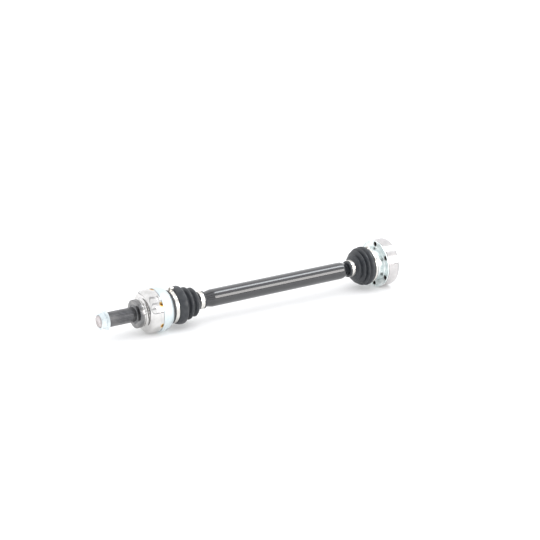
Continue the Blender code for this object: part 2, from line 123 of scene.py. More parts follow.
def bridge(first, second):
    """Faces between two rings of vertex numbers. A ring of one is a point on the axis."""
    faces = []
    count = max(len(first), len(second))
    for index in range(count):
        after = (index + 1) % count
        if len(first) == 1:
            faces.append((first[0], second[index], second[after]))
        elif len(second) == 1:
            faces.append((first[index], first[after], second[0]))
        else:
            faces.append((first[index], first[after], second[after], second[index]))
    return faces


def turned(name, outline, steps=TURN_STEPS, radius_at=None, push=None):
    """Turns a closed outline round X. push(x, radius, angle) may move a point along X."""
    verts, rings = [], []
    for x, radius in outline:
        if radius == 0:
            rings.append([len(verts)])
            verts.append((x, 0, 0))
            continue
        rings.append(list(range(len(verts), len(verts) + steps)))
        for step in range(steps):
            angle = 2 * math.pi * step / steps
            own = radius_at(x, angle) if radius is None else radius
            shift = push(x, own, angle) if push else 0.0
            verts.append(around(own, angle, x + shift))
    faces = []
    for first, second in zip(rings, rings[1:] + rings[:1]):
        if len(first) > 1 or len(second) > 1:
            faces += bridge(first, second)
    return make_object(name, verts, faces)


def rounded(points, steps=5):
    """Replaces each corner written (x, radius, fillet) by a curve that trims the fillet off both sides.

    It takes a whole outline, because a corner's curve depends on the points before and after it.
    """
    line = []
    for index, point in enumerate(points):
        if len(point) == 2:
            line.append(point)
            continue
        corner = Vector(point[:2])
        before = Vector(points[index - 1][:2]) - corner
        after = Vector(points[(index + 1) % len(points)][:2]) - corner
        start = corner + before.normalized() * min(point[2], before.length * 0.49)
        end = corner + after.normalized() * min(point[2], after.length * 0.49)
        for step in range(steps + 1):
            t = step / steps
            spot = start * (1 - t) ** 2 + corner * 2 * t * (1 - t) + end * t * t
            line.append((spot.x, spot.y))
    return line


def dome(start, end, steps):
    """A quarter ellipse that leaves the first point along X and reaches the second square to X."""
    (x0, r0), (x1, r1) = start, end
    angles = [math.pi / 2 * step / steps for step in range(steps + 1)]
    return [(x0 + (x1 - x0) * math.sin(a), r1 + (r0 - r1) * math.cos(a)) for a in angles]


def steps_between(start, end, step):
    count = max(1, round(abs(end - start) / step))
    return [start + (end - start) * index / count for index in range(count + 1)]


def ease(t):
    t = min(max(t, 0.0), 1.0)
    return t * t * (3 - 2 * t)


def cut_away(obj, cutters):
    """Subtracts the cutters, keeps the result as the object's own mesh and removes the cutters."""
    for cutter in cutters:
        modifier = obj.modifiers.new(cutter.name, "BOOLEAN")
        modifier.operation = "DIFFERENCE"
        modifier.solver = "EXACT"
        modifier.object = cutter
    graph = bpy.context.evaluated_depsgraph_get()
    mesh = bpy.data.meshes.new_from_object(obj.evaluated_get(graph))
    obj.modifiers.clear()
    obj.data = mesh
    for cutter in cutters:
        bpy.data.objects.remove(cutter, do_unlink=True)
    obj.data.shade_smooth()
    obj.data.set_sharp_from_angle(angle=SMOOTH_ANGLE)


def turned_at(name, outline, middle, steps=32):
    """Turns an outline round a line parallel to X through the middle, for holes off the axis."""
    obj = turned(name, outline, steps)
    obj.data.transform(Matrix.Translation(Vector(middle) * MM))
    return obj


def block(name, middle, size, angle):
    """A cutter box whose third side points outwards at the angle round X."""
    data = bmesh.new()
    turn = Matrix.Rotation(angle - math.pi / 2, 4, "X")
    place = Matrix.Translation(Vector(middle) * MM) @ turn @ Matrix.Diagonal((*[s * MM for s in size], 1.0))
    bmesh.ops.create_cube(data, size=1.0, matrix=place)
    mesh = bpy.data.meshes.new(name)
    data.to_mesh(mesh)
    data.free()
    obj = bpy.data.objects.new(name, mesh)
    bpy.context.scene.collection.objects.link(obj)
    return obj


# ---------------------------------------------------------------- materials


def node(tree, kind, inputs=None, **settings):
    made = tree.nodes.new(kind)
    for key, value in settings.items():
        setattr(made, key, value)
    for key, value in (inputs or {}).items():
        if isinstance(value, bpy.types.NodeSocket):
            tree.links.new(value, made.inputs[key])
        else:
            made.inputs[key].default_value = value
    return made


def noise(tree, stretch, detail=3.0, rough=0.55):
    """Noise in the object's own metres. The stretch is how many waves a metre holds along each axis."""
    place = node(tree, "ShaderNodeTexCoord").outputs["Object"]
    scaled = node(tree, "ShaderNodeMapping", {"Vector": place, "Scale": stretch})
    made = node(tree, "ShaderNodeTexNoise", {
        "Vector": scaled.outputs["Vector"], "Scale": 1.0, "Detail": detail, "Roughness": rough,
    })
    return made.outputs["Fac"]


def spread(tree, value, low, high, start=0.35, end=0.65):
    """Maps a noise value to a range of numbers."""
    made = {"Value": value, "From Min": start, "From Max": end, "To Min": low, "To Max": high}
    return node(tree, "ShaderNodeMapRange", made).outputs["Result"]


def mix(tree, share, first, second, blend="MIX"):
    made = node(tree, "ShaderNodeMix", data_type="RGBA", blend_type=blend)
    for socket, value in ((0, share), (6, first), (7, second)):
        if isinstance(value, bpy.types.NodeSocket):
            tree.links.new(value, made.inputs[socket])
        elif isinstance(value, tuple):
            made.inputs[socket].default_value = (*value, 1.0)
        else:
            made.inputs[socket].default_value = value
    return made.outputs[2]


def calc(tree, operation, first, second=0.0, third=0.0):
    made = node(tree, "ShaderNodeMath", operation=operation)
    for index, value in enumerate((first, second, third)):
        if isinstance(value, bpy.types.NodeSocket):
            tree.links.new(value, made.inputs[index])
        else:
            made.inputs[index].default_value = value
    return made.outputs[0]


def make_finish(name, tones, roughness, grain, bump, metallic=0.0, clouds=(55, 55, 55), depth=0.00006, **constants):
    """A Principled material: cloudy colour between two tones, grain in its roughness and as bump."""
    material = bpy.data.materials.new(name)
    material.use_nodes = True
    tree = material.node_tree
    shader = tree.nodes["Principled BSDF"]
    cloud = spread(tree, noise(tree, clouds), 0.0, 1.0)
    fine = noise(tree, grain, 4.0)
    tree.links.new(mix(tree, cloud, *tones), shader.inputs["Base Color"])
    tree.links.new(spread(tree, fine, *roughness), shader.inputs["Roughness"])
    raised = node(tree, "ShaderNodeBump", {"Height": fine, "Strength": bump, "Distance": depth})
    tree.links.new(raised.outputs["Normal"], shader.inputs["Normal"])
    shader.inputs["Metallic"].default_value = metallic
    for key, value in constants.items():
        shader.inputs[key.replace("_", " ").title().replace("Ior", "IOR")].default_value = value
    return material


def add_speckle(material, colour, waves, start, end, share=1.0):
    """Lays small irregular spots of a colour over the finish."""
    tree = material.node_tree
    target = tree.nodes["Principled BSDF"].inputs["Base Color"]
    under = target.links[0].from_socket
    spots = spread(tree, noise(tree, (waves,) * 3, 5.0, 0.65), 0.0, share, start, end)
    tree.links.new(mix(tree, spots, under, colour), target)


def add_heat_tint(material, at_x, at_radius):
    """Six heat marks round the bell, each brown in the middle and straw-coloured at its edge."""
    tree = material.node_tree
    target = tree.nodes["Principled BSDF"].inputs["Base Color"]
    under = target.links[0].from_socket
    place = node(tree, "ShaderNodeSeparateXYZ", {"Vector": node(tree, "ShaderNodeTexCoord").outputs["Object"]})
    angle = calc(tree, "ADD", calc(tree, "ARCTAN2", place.outputs["Z"], place.outputs["Y"]), math.radians(2))
    turns = calc(tree, "FRACT", calc(tree, "DIVIDE", angle, SIXTH))
    across = calc(tree, "MULTIPLY", calc(tree, "SUBTRACT", turns, 0.5), SIXTH * at_radius * MM)
    along = calc(tree, "SUBTRACT", place.outputs["X"], at_x * MM)
    wobble = calc(tree, "MULTIPLY", calc(tree, "SUBTRACT", noise(tree, (420,) * 3), 0.5), 0.0034)
    flat = calc(tree, "MULTIPLY", across, 0.72)
    distance = calc(tree, "SQRT", calc(tree, "ADD", calc(tree, "MULTIPLY", flat, flat),
                                       calc(tree, "MULTIPLY", along, along)))
    distance = calc(tree, "ADD", distance, wobble)
    rings = node(tree, "ShaderNodeValToRGB", {"Fac": calc(tree, "DIVIDE", distance, 0.0056)})
    stops = ((0.0, (0.10, 0.045, 0.012)), (0.32, (0.24, 0.11, 0.02)), (0.55, (0.70, 0.40, 0.10)),
             (0.78, (0.80, 0.66, 0.36)), (1.0, (0.66, 0.64, 0.61)))
    while len(rings.color_ramp.elements) < len(stops):
        rings.color_ramp.elements.new(0.5)
    for element, (position, colour) in zip(rings.color_ramp.elements, stops):
        element.position = position
        element.color = (*colour, 1.0)
    share = spread(tree, distance, 1.0, 0.0, 0.0030, 0.0056)
    tree.links.new(mix(tree, share, under, rings.outputs["Color"]), target)


TURNED = (1900, 9, 9)
BRUSHED = (2600, 40, 40)
EVEN = (1400, 1400, 1400)

FINISHES = {
    "bell": make_finish(
        "polished_bell_steel", ((0.60, 0.59, 0.58), (0.72, 0.71, 0.70)), (0.07, 0.13),
        TURNED, 0.06, 1.0,
    ),
    "ring": make_finish(
        "machined_ring_steel", ((0.53, 0.515, 0.515), (0.65, 0.63, 0.625)), (0.14, 0.26),
        TURNED, 0.2, 1.0,
    ),
    "spline": make_finish(
        "phosphated_steel", ((0.13, 0.132, 0.138), (0.21, 0.21, 0.212)), (0.30, 0.46),
        EVEN, 0.3, 0.85,
    ),
    # Dark steel for the stub's collar; on the ring's rear chamfer the same finish is a painted dark edge line.
    "collar": make_finish(
        "dark_steel_and_painted_edge_shade", ((0.16, 0.16, 0.165), (0.27, 0.265, 0.26)), (0.18, 0.30),
        TURNED, 0.12, 1.0,
    ),
    "thread": make_finish(
        "thread_steel", ((0.42, 0.38, 0.38), (0.66, 0.62, 0.62)), (0.28, 0.46),
        EVEN, 0.3, 1.0,
    ),
    "nut": make_finish(
        "nut_zinc", ((0.64, 0.70, 0.72), (0.80, 0.85, 0.865)), (0.30, 0.46),
        EVEN, 0.25, 1.0, (90, 90, 90),
    ),
    "can": make_finish(
        "can_zinc", ((0.66, 0.73, 0.755), (0.80, 0.855, 0.87)), (0.28, 0.44),
        EVEN, 0.18, 1.0, (60, 34, 34),
    ),
    "cover": make_finish(
        "cover_zinc", ((0.70, 0.77, 0.765), (0.86, 0.895, 0.89)), (0.26, 0.42),
        EVEN, 0.22, 1.0, (85, 85, 85),
    ),
    "band": make_finish(
        "clamp_band_steel", ((0.66, 0.64, 0.61), (0.82, 0.80, 0.76)), (0.20, 0.34),
        BRUSHED, 0.2, 1.0,
    ),
    "paint": make_finish(
        "gloss_black_paint", ((0.010, 0.011, 0.013), (0.017, 0.018, 0.021)), (0.09, 0.15),
        (420, 420, 420), 0.06, 0.0, (40, 40, 40), 0.00005, coat_weight=1.0, coat_roughness=0.07,
    ),
    "rubber": make_finish(
        "boot_rubber", ((0.024, 0.027, 0.032), (0.040, 0.043, 0.048)), (0.29, 0.43),
        EVEN, 0.3, 0.0, (120, 120, 120), 0.00009,
    ),
    "bearing": make_finish(
        "ground_bearing_steel", ((0.60, 0.60, 0.61), (0.72, 0.72, 0.72)), (0.10, 0.20),
        EVEN, 0.08, 1.0,
    ),
    "spring": make_finish(
        "blued_spring_steel", ((0.12, 0.12, 0.14), (0.22, 0.22, 0.25)), (0.28, 0.42),
        TURNED, 0.2, 1.0,
    ),
    # Dark steel for the ring's bolt hole walls: painted shade inside the holes.
    "bore": make_finish(
        "bore_steel_painted_shade", ((0.07, 0.065, 0.062), (0.13, 0.125, 0.12)), (0.40, 0.60),
        EVEN, 0.3, 0.8,
    ),
    "gasket": make_finish(
        "gasket_fibre", ((0.22, 0.20, 0.17), (0.34, 0.31, 0.26)), (0.70, 0.90),
        EVEN, 0.6, 0.0, (300, 300, 300), 0.00012,
    ),
}
add_heat_tint(FINISHES["bell"], -227.4, 43.0)
add_speckle(FINISHES["spline"], (0.30, 0.29, 0.28), 900, 0.60, 0.72, 0.5)
add_speckle(FINISHES["thread"], (0.12, 0.09, 0.09), 330, 0.56, 0.64, 0.8)
add_speckle(FINISHES["nut"], (0.50, 0.62, 0.70), 260, 0.55, 0.70, 0.6)
add_speckle(FINISHES["cover"], (0.62, 0.69, 0.60), 240, 0.58, 0.70, 0.5)
add_speckle(FINISHES["can"], (0.72, 0.82, 0.78), 120, 0.52, 0.66, 0.5)


def dress(obj, *finishes):
    obj.data.materials.clear()
    for name in finishes:
        obj.data.materials.append(FINISHES[name])


def stand_for(obj, cad_node, slot, *finishes):
    """The piece takes a CAD node's place: it rides on that node's body, with this finish."""
    if finishes:
        dress(obj, *finishes)
    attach(obj, BODY_OF[cad_node])
    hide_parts(cad_node)
    return obj


# ---------------------------------------------------------------- stub, bell and nut


def wave(t):
    """A triangle wave from 0 to 1 and back, once for each whole number."""
    return 1 - abs(2 * (t - math.floor(t)) - 1)


def cavity_radius(x, angle):
    """The bell's inside: a sphere for the cage, with six tracks that follow the balls' arcs."""
    cage, pitch, track = 33.4, 28.5, 9.4
    along_x = x - OUTER_CENTRE
    off = (angle + SIXTH / 2) % SIXTH - SIXTH / 2

    def outside(radius):
        depth = math.hypot(along_x, radius * math.cos(off)) - pitch
        return depth * depth + (radius * math.sin(off)) ** 2 > track * track

    low = math.sqrt(cage * cage - along_x * along_x)
    high = 45.0
    if outside(low):
        return low
    for _ in range(18):
        middle = (low + high) / 2
        if outside(middle):
            high = middle
        else:
            low = middle
    return low


def stub_radius(x, angle):
    """The stub's thread and its 33 teeth, and the bell's inside."""
    if x < -328.3:
        lead_in = 11.0 + (x + 346.0)
        return min(12.0 - 0.85 * wave((x + 346.0) / 1.5 + angle / (2 * math.pi)), lead_in)
    if x < -268.0:
        share = (angle * STUB_TEETH / (2 * math.pi)) % 1.0
        tooth = min(max((0.667 - abs(2 * share - 1)) / 0.334, 0.0), 1.0)
        height = min(ease((x + 328.0) / 0.9), ease((-269.2 - x) / 2.2))
        return 13.9 + 0.9 * tooth * height
    return cavity_radius(x, angle)


def make_stub_and_bell():
    outline = [(-346, 0), (-346, 10.8)]
    outline += [(x, None) for x in steps_between(-345.9, -328.9, 0.25)]
    outline += [(-328.6, 11.3), (-328.3, 13.3)]
    outline += [(x, None) for x in [
        -328.0, -327.7, -327.4, -327.1, -320, -300, -280, -271.4, -270.8, -270.2, -269.6, -269.2,
    ]]
    outline += [
        (-268.9, 14.1), (-267.7, 16.2, 0.5), (-267.4, 18.4, 0.3), (-268.0, 19.2, 0.4), (-268.0, 28.3, 0.9),
        (-259.5, 28.3, 0.7), (-259.5, 26.2, 0.4), (-257.5, 26.2, 0.5), (-257.0, 25.0, 0.3), (-255.4, 25.0, 0.3),
        (-255.0, 26.8, 0.4), (-253.0, 27.2, 0.8), (-251.8, 29.4, 0.6),
    ]
    outline += dome((-241.5, 43.0), (-251.5, 30.4), 16)[::-1]
    outline += [
        (-231.9, 43.0, 0.15), (-231.6, 42.7, 0.15), (-231.1, 42.7, 0.15), (-230.8, 43.0, 0.15), (-225.3, 43.0, 0.4),
        (-225.3, 42.2, 0.3), (-219.0, 42.1), (-212.0, 41.2, 1.0), (-206.0, 39.4, 1.0), (-206.0, 37.5),
    ]
    outline += [(x, None) for x in [
        -206.0, -206.6, -208, -210, -213, -216.5, -220, -223.5, -227, -231, -235, -239, -243.5,
    ]]
    outline += [(-243.5, 0)]
    obj = turned("stub_and_bell", rounded(outline), STUB_STEPS, stub_radius)
    dress(obj, "bell", "spline", "collar", "thread")
    for face in obj.data.polygons:
        x, y, z = face.center / MM
        radius = math.hypot(y, z)
        if x < -328.3:
            face.material_index = 3
        elif x < -267.2 and radius < 18.8:
            face.material_index = 1
        elif x < -259.4:
            face.material_index = 2
    return stand_for(obj, "outer_housing", "bright_steel")


def make_nut():
    corner = 17.6
    flat = corner * math.cos(math.pi / 6)

    def radius_at(x, angle):
        off = (angle + SIXTH / 2) % SIXTH - SIXTH / 2
        hexagon = flat / math.cos(off)
        front_cone = 15.3 + (x + 344.0) * 1.73
        flange = 17.0 + (x + 333.2) * 1.05 if x > -333.2 else 0.0
        return max(min(hexagon, front_cone), min(flange, 20.0))

    outline = [(-343.2, 12.15), (-344.0, 13.1)]
    outline += [(x, None) for x in steps_between(-344.0, -342.4, 0.1)]
    outline += [(x, None) for x in (-340.0, -337.0, -334.0)]
    outline += [(x, None) for x in steps_between(-333.4, -330.2, 0.2)]
    outline += [(-329.4, 20.0), (-329.0, 19.6), (-329.0, 12.9), (-329.7, 12.15)]
    return stand_for(turned("nut", outline, 192, radius_at), "axle_nut", "zinc_nut", "nut")


def make_can():
    sheet = 1.3
    outline = [(-225.0, 42.7), (-225.0, 44.0, 0.6)]
    outline += dome((-221.0, 44.0), (-198.0, 33.0), 24)
    outline += [(-198.0, 30.2, 0.5), (-187.0, 30.2, 0.4), (-187.0, 30.2 - sheet, 0.4),
                (-198.0 - sheet, 30.2 - sheet, 0.5)]
    outline += dome((-221.0, 44.0 - sheet), (-198.0 - sheet, 33.0 - sheet), 24)[::-1]
    return stand_for(turned("can", rounded(outline)), "outer_can", "zinc_can", "can")


# ---------------------------------------------------------------- bar and boots


def make_bar():
    outline = rounded([
        (-236.0, 0), (-236.0, 11.5, 1.0), (-234.2, 11.5), (-234.2, 10.6), (-232.6, 10.6), (-232.6, 12.0, 0.4),
        (-205.4, 12.0), (-205.4, 13.4, 0.4), (-202.0, 13.4, 1.0), (-199.0, 11.5, 2.0), (-140.0, 11.6, 4.0),
        (-129.0, 14.5, 3.0), (-114.0, 14.7, 3.0), (-108.0, 15.6, 2.0), (-98.0, 17.8, 3.0), (-92.0, 18.0, 2.5),
        (213.0, 18.0, 4.0), (219.0, 17.6, 2.0), (231.0, 13.7, 3.0), (235.5, 13.0, 2.5), (256.0, 13.0, 3.0),
        (264.0, 12.0, 3.0), (304.0, 12.0, 1.0), (307.0, 13.4, 1.0), (311.1, 13.4, 0.4), (311.1, 12.0),
        (331.3, 12.0, 0.4), (331.3, 10.6), (332.9, 10.6), (332.9, 11.5), (335.0, 11.5, 1.0), (335.0, 0),
    ], 6)
    return stand_for(turned("bar", outline, 128), "shaft", "black_paint", "paint")


def folds(turns, steps=14):
    """A boot's outer line through its ridges and valleys, with broad ridges and tighter valleys."""
    line = []
    for (x0, r0), (x1, r1) in zip(turns, turns[1:]):
        for step in range(steps):
            t = step / steps
            broad = t ** 1.25 if r1 < r0 else 1 - (1 - t) ** 1.25
            line.append((x0 + (x1 - x0) * t, r0 + (r1 - r0) * (1 - math.cos(math.pi * broad)) / 2))
    line.append(turns[-1])
    return line


def make_boot(prefix, cad_node, line, bores, stations):
    """One closed piece for each joint that the boot crosses.

    stations is a list of (x, body) from one cuff to the other, and bores gives each cuff's (x limit, radius).
    """
    xs = np.array([x for x, _ in line])
    rs = np.array([r for _, r in line])

    def outer_at(x):
        return float(np.interp(x, xs, rs))

    def inner_at(x):
        (first_end, first_bore), (last_start, last_bore) = bores
        if x <= first_end:
            return first_bore
        if x >= last_start:
            return last_bore
        slope = (outer_at(x + 0.4) - outer_at(x - 0.4)) / 0.8
        return outer_at(x) - BOOT_WALL * min(math.hypot(1, slope), 1.6)

    last_index = len(stations) - 2
    for index, ((x0, first_body), (x1, second_body)) in enumerate(zip(stations, stations[1:])):
        start = xs[0] if index == 0 else x0
        end = xs[-1] if index == last_index else x1
        edges = []
        if index in (0, last_index):
            edges = [x for x in xs if start + 0.12 < x < end - 0.12]
        places = sorted(set(steps_between(start, end, 0.4) + edges))
        final = len(places) - 1
        places = [x for n, x in enumerate(places) if n in (0, final) or x - places[n - 1] > 0.03]
        outline = [(x, outer_at(x)) for x in places] + [(x, inner_at(x)) for x in reversed(places)]
        obj = turned(f"{prefix}_{index + 1}", outline, 112)
        dress(obj, "rubber")
        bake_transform(obj)
        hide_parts(cad_node)


def make_outer_boot():
    line = [
        (-197.7, 31.6), (-197.6, 34.1, 1.0), (-192.9, 34.1, 0.8), (-192.7, 32.5), (-184.7, 32.5), (-184.2, 33.3, 0.4),
        (-182.6, 35.3, 1.2), (-178.0, 37.6, 2.0), (-174.0, 38.4, 1.5),
    ]
    line += folds([(-170.0, 38.5), (-161.0, 27.0), (-154.0, 32.8), (-147.0, 24.0), (-139.5, 29.4)])
    line += [
        (-136.0, 26.2, 1.2), (-132.4, 20.2, 1.5), (-129.5, 18.0, 1.0), (-127.7, 17.2, 0.5), (-118.6, 17.2),
        (-118.3, 17.9, 0.2), (-114.8, 17.9, 0.6), (-114.5, 16.6),
    ]
    stations = [(-184.5, "wheel_stub"), (-174.0, "outer_last_ball"), (-163.0, "outer_cage"),
                (-153.0, "outer_first_ball"), (-131.0, "shaft")]
    make_boot("outer_boot_fold", "outer_boot", rounded(line), ((-186.7, 30.5), (-131.5, 15.0)), stations)


def make_inner_boot():
    line = [
        (235.0, 15.4), (235.2, 17.2, 0.5), (238.5, 17.3, 0.4), (238.9, 17.0), (247.2, 17.1), (247.6, 18.0, 0.4),
        (248.6, 20.6, 0.8), (250.0, 25.0, 0.8),
    ]
    line += folds([(252.2, 28.0), (256.4, 25.6), (260.3, 35.2), (264.4, 31.5), (268.2, 39.7), (272.2, 36.0),
                   (278.0, 41.3)], 10)
    line += [
        (282.0, 40.8, 1.0), (284.2, 38.9, 0.8), (284.9, 37.4, 0.4), (290.4, 37.4), (290.6, 38.0), (291.1, 38.0),
    ]
    stations = [(247.3, "shaft"), (254.5, "inner_first_ball"), (261.0, "inner_cage"), (268.0, "inner_last_ball"),
                (275.6, "inner_boot"), (285.3, "gearbox_ring")]
    make_boot("inner_boot_fold", "inner_boot", rounded(line), ((248.8, 13.4), (286.2, 34.9)), stations)


# ---------------------------------------------------------------- clamps


def ear_shape(half_width, height, neck):
    """A crimped ear as (along the band, above the band) points, dented on top and pinched at its foot."""
    side = [
        (half_width + 1.1, 0.0), (half_width + 0.3, 0.25), (half_width - 0.35, 0.9),
        (half_width - neck, height * 0.42), (half_width - neck * 0.5, height * 0.72),
        (half_width - 0.5, height * 0.92), (half_width * 0.55, height),
    ]
    left = [(-u, h) for u, h in side]
    return left + [(0.0, height * 0.93)] + side[::-1]


def make_clamp(name, cad_node, x_range, inner_radius, seam, overlap, ear, slots):
    """A band wound once round the boot, whose free end overlaps its start and carries an ear and slots.

    seam, overlap, the ear's place and the slots' places are angles in degrees, growing from +Y towards +Z.
    """
    sheet, lift = 0.5, 0.62
    ear_angle, ear_half, ear_height = ear
    seam_turn = math.radians(seam)
    turn_end = seam_turn + 2 * math.pi + math.radians(overlap)
    ramp = math.radians(16)

    def radius_at(turn):
        return inner_radius + lift * ease((turn - (seam_turn + 2 * math.pi - ramp)) / ramp)

    ear_turn = math.radians(ear_angle) + 2 * math.pi
    ear_span = (ear_half + 1.1) / (inner_radius + lift)
    turns = steps_between(seam_turn, ear_turn - ear_span, math.radians(2.5))[:-1]
    path = [around(radius_at(t), t)[1:] for t in turns]
    for u, h in ear_shape(ear_half, ear_height - sheet - lift, 0.9):
        path.append(around(inner_radius + lift + h, ear_turn + u / (inner_radius + lift))[1:])
    last = steps_between(ear_turn + ear_span, turn_end, math.radians(2.0))[1:]
    path += [around(radius_at(t), t)[1:] for t in last]
    points = np.array(path)
    ahead = np.roll(points, -1, 0) - points
    ahead[-1] = ahead[-2]
    behind = points - np.roll(points, 1, 0)
    behind[0] = behind[1]
    ahead_length = np.linalg.norm(ahead, axis=1)[:, None]
    behind_length = np.linalg.norm(behind, axis=1)[:, None]
    along = ahead / ahead_length + behind / behind_length
    along /= np.linalg.norm(along, axis=1)[:, None]
    outward = np.stack([along[:, 1], -along[:, 0]], 1)
    middle = sum(x_range) / 2
    half = (x_range[1] - x_range[0]) / 2
    from_end = [len(points) - 1 - n for n in range(len(points))]
    tongue = [min(1.0, 0.35 + 0.65 * math.sqrt(max(0.0, left / 4.0))) for left in from_end]
    verts, rings = [], []
    for point, out, share in zip(points, outward, tongue):
        wide = half * share
        corner = 0.16
        section = [(-wide, corner), (-wide, sheet - corner), (-wide + corner, sheet), (wide - corner, sheet),
                   (wide, sheet - corner), (wide, corner), (wide - corner, 0.0), (-wide + corner, 0.0)]
        rings.append(list(range(len(verts), len(verts) + len(section))))
        for across, height in section:
            spot = point + out * height
            verts.append((middle + across, spot[0], spot[1]))
    faces = []
    for first, second in zip(rings, rings[1:]):
        faces += bridge(first, second)
    faces += [tuple(rings[0]), tuple(rings[-1])]
    band = make_object(name, verts, faces, math.radians(38))
    length, width = slots[1]
    cutters = []
    for number, angle in enumerate(slots[0]):
        turn = math.radians(angle)
        centre = around(inner_radius + lift + sheet / 2, turn, middle)
        cutters.append(block(f"{name}_slot_{number}", centre, (width, length, sheet + 0.16), turn))
    if cutters:
        cut_away(band, cutters)
    return stand_for(band, cad_node, "band_steel", "band")


def make_clamps():
    make_clamp("large_clamp_wheel_side", "outer_large_clamp", (-192.4, -185.0), 32.75, 72, 96, (98, 3.4, 10.2),
               ((124, 140), (3.2, 3.8)))
    make_clamp("small_clamp_wheel_side", "outer_small_clamp", (-127.2, -118.8), 17.4, -40, 200, (-20, 2.3, 3.6),
               ((104, 126, 148), (2.0, 2.6)))
    make_clamp("large_clamp_gearbox_side", "inner_large_clamp", (285.8, 290.2), 37.6, 78, 70, (92, 3.2, 4.4),
               ((116, 126), (2.4, 1.8)))
    make_clamp("small_clamp_gearbox_side", "inner_small_clamp", (239.2, 246.8), 17.3, -40, 200, (-20, 2.3, 3.6),
               ((104, 126, 148), (2.0, 2.6)))


# ---------------------------------------------------------------- gearbox end


def bolt_places():
    return [SIXTH * (index + 0.5) for index in range(BALLS)]


def bolt_cutters(name, start, end, lead):
    """Cutters for the six bolt holes, with a small chamfer where they leave the face at each end."""
    wide = BOLT_HOLE + lead
    outline = [
        (start - 3, 0), (start - 3, wide), (start, wide), (start + lead, BOLT_HOLE),
        (end - lead, BOLT_HOLE), (end, wide), (end + 3, wide), (end + 3, 0),
    ]
    return [turned_at(f"{name}_{n}", outline, around(BOLT_CIRCLE, a)) for n, a in enumerate(bolt_places())]


def make_ring():
    outline = rounded([
        (311.0, 31.4, 0.5), (311.0, 50.0, 0.7), (336.0, 50.0, 2.0), (336.0, 36.9, 0.4), (334.4, 36.9, 0.2),
        (334.4, 31.4, 0.4),
    ], 6)
    ring = turned("ring", outline, 192)
    tracks = []
    for index in range(BALLS):
        bore = [(300, 0), (300, 8.6), (345, 8.6), (345, 0)]
        tracks.append(turned_at(f"ring_track_{index}", bore, around(27.0, SIXTH * index), 48))
    cut_away(ring, tracks + bolt_cutters("ring_hole", 311.0, RING_BACK, 0.5))
    dress(ring, "ring", "bore", "collar")
    for face in ring.data.polygons:
        x, y, z = face.center / MM
        middles = [around(BOLT_CIRCLE, angle) for angle in bolt_places()]
        off = min(math.hypot(y - middle[1], z - middle[2]) for middle in middles)
        # The bolt hole walls take the dark bore finish, painted shade inside the holes.
        if off < BOLT_HOLE + 0.6 and abs(face.normal.x) < 0.9:
            face.material_index = 1
        # The rear outer chamfer takes the dark collar finish as a painted dark edge line.
        elif 334.0 < x < 335.98 and math.hypot(y, z) > 47.9:
            face.material_index = 2
    return stand_for(ring, "inner_ring", "bright_steel")


def make_cover():
    """The pressed cover: a neck for the boot, a bolt face with pockets between the bolts, and a raised rim."""
    front = [
        (286.5, 33.2), (286.5, 34.6, 0.4), (291.3, 34.6, 0.5), (292.2, 36.0, 0.5), (303.6, 36.0, 2.0),
        (307.0, 36.3, 0.6),
    ]
    face = [(307.9, 37.0), (308.4, 37.4)]
    face += [(COVER_FACE, radius) for radius in (
        37.8, 38.6, 39.4, 40.2, 41.2, 42.4, 43.6, 44.8, 45.8, 46.6, 47.3, 48.3,
    )]
    rim = [(308.4, 48.6), (307.3, 48.9, 0.2), (307.3, 50.0, 0.5), (309.9, 50.0, 0.3)]
    back = [(309.9, 34.6, 0.5), (292.2, 34.6, 0.5), (291.3, 33.2, 0.5)]

    def pocket(x, radius, angle):
        """Between two bolts the face is pressed in by most of the sheet's thickness."""
        if x < 300 or x > 308.8 or radius < 36.2 or radius > 47.6:
            return 0.0
        off = abs((angle + SIXTH / 2) % SIXTH - SIXTH / 2)
        sideways = 1 - ease((off - math.radians(12.5)) / math.radians(5.0))
        inwards = ease((radius - 36.4) / 1.6) * (1 - ease((radius - 45.4) / 1.6))
        return 0.95 * sideways * inwards

    cover = turned("cover", rounded(front + face + rim + back), 216, None, pocket)
    dents = []
    for index, angle in enumerate(bolt_places()):
        outline = [(300.5, 0), (300.5, 0.9), (301.0, 1.25), (309.0, 1.25), (309.0, 0)]
        place = around(36.2, angle + math.radians(1.5))
        dents.append(turned_at(f"cover_dent_{index}", outline, place, 20))
    cut_away(cover, bolt_cutters("cover_hole", COVER_FACE, 309.9, 0.25) + dents)
    return stand_for(cover, "inner_cover", "zinc_cover", "cover")


def make_gasket():
    gasket = turned("gasket", [(310.2, 36.9), (310.2, 49.5), (310.7, 49.5), (310.7, 36.9)])
    cut_away(gasket, bolt_cutters("gasket_hole", 309.0, 312.0, 0.0))
    return stand_for(gasket, "inner_gasket", "gasket", "gasket")


def make_cap():
    outline = [
        (334.7, 36.6, 0.2), (335.6, 36.6, 0.2), (335.6, 35.9, 0.3), (339.5, 35.9, 2.0), (342.5, 34.5, 1.5),
        (344.5, 31.0, 2.0), (346.0, 26.2, 2.0),
    ]
    outline += [(346.0, 12.0), (345.7, 11.4), (345.7, 0), (344.8, 0), (344.8, 11.2), (345.1, 12.0)]
    outline += [(345.1, 26.0, 2.0), (343.7, 30.5, 2.0), (341.8, 33.8, 1.5), (339.2, 35.0, 2.0), (334.7, 35.0, 0.2)]
    return stand_for(turned("dust_cap", rounded(outline)), "inner_cap", "zinc_cover", "cover")


# ---------------------------------------------------------------- inside parts


def make_balls(prefix, centre, pitch, radius):
    """Finely divided balls in the places of the CAD's plain ones."""
    rows = 24
    turns = [math.pi * n / rows for n in range(1, rows)]
    outline = [(-radius * math.cos(turn), radius * math.sin(turn)) for turn in turns]
    outline = [(-radius, 0)] + outline + [(radius, 0)]
    for index in range(BALLS):
        spot = around(pitch, SIXTH * index, centre)
        ball = turned_at(f"{prefix}_bearing_ball_{index + 1}", outline, spot, 40)
        stand_for(ball, f"{prefix}_ball_{index + 1}", "bearing_steel", "bearing")


